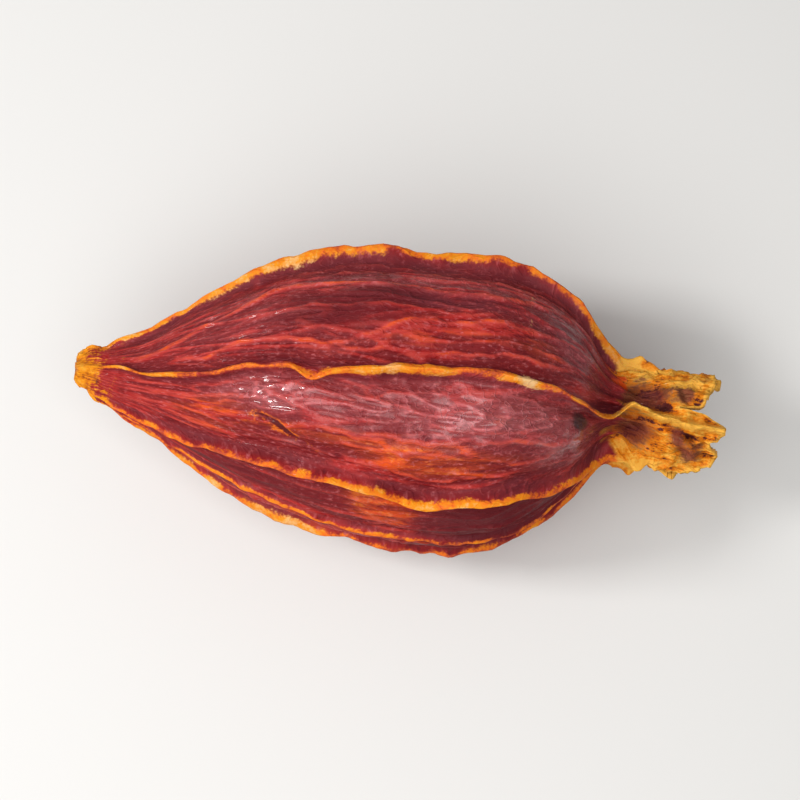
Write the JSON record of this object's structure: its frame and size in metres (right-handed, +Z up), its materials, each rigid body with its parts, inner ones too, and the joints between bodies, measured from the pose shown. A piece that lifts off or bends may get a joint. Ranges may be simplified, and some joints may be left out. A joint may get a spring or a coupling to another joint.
{
  "type": "dried gardenia fruit",
  "caption": "Whole dried gardenia fruit: a red-brown spindle with thin wavy lengthwise ribs, puffed veined panels, a stalk scar and a torn calyx crown, lying on its side.",
  "frame": {"origin": "bottom centre of the bounding box, on the surface that the fruit lies on", "axes": "+X along the fruit from the stalk scar to the calyx crown, +Z up"},
  "size_m": [0.0336, 0.0156, 0.0157],
  "materials": {
    "dried_skin": "dry waxy skin, dark red with ochre ribs and calyx"
  },
  "bodies": {
    "root": {"dried_fruit": "dried_skin"}
  },
  "joints": []
}
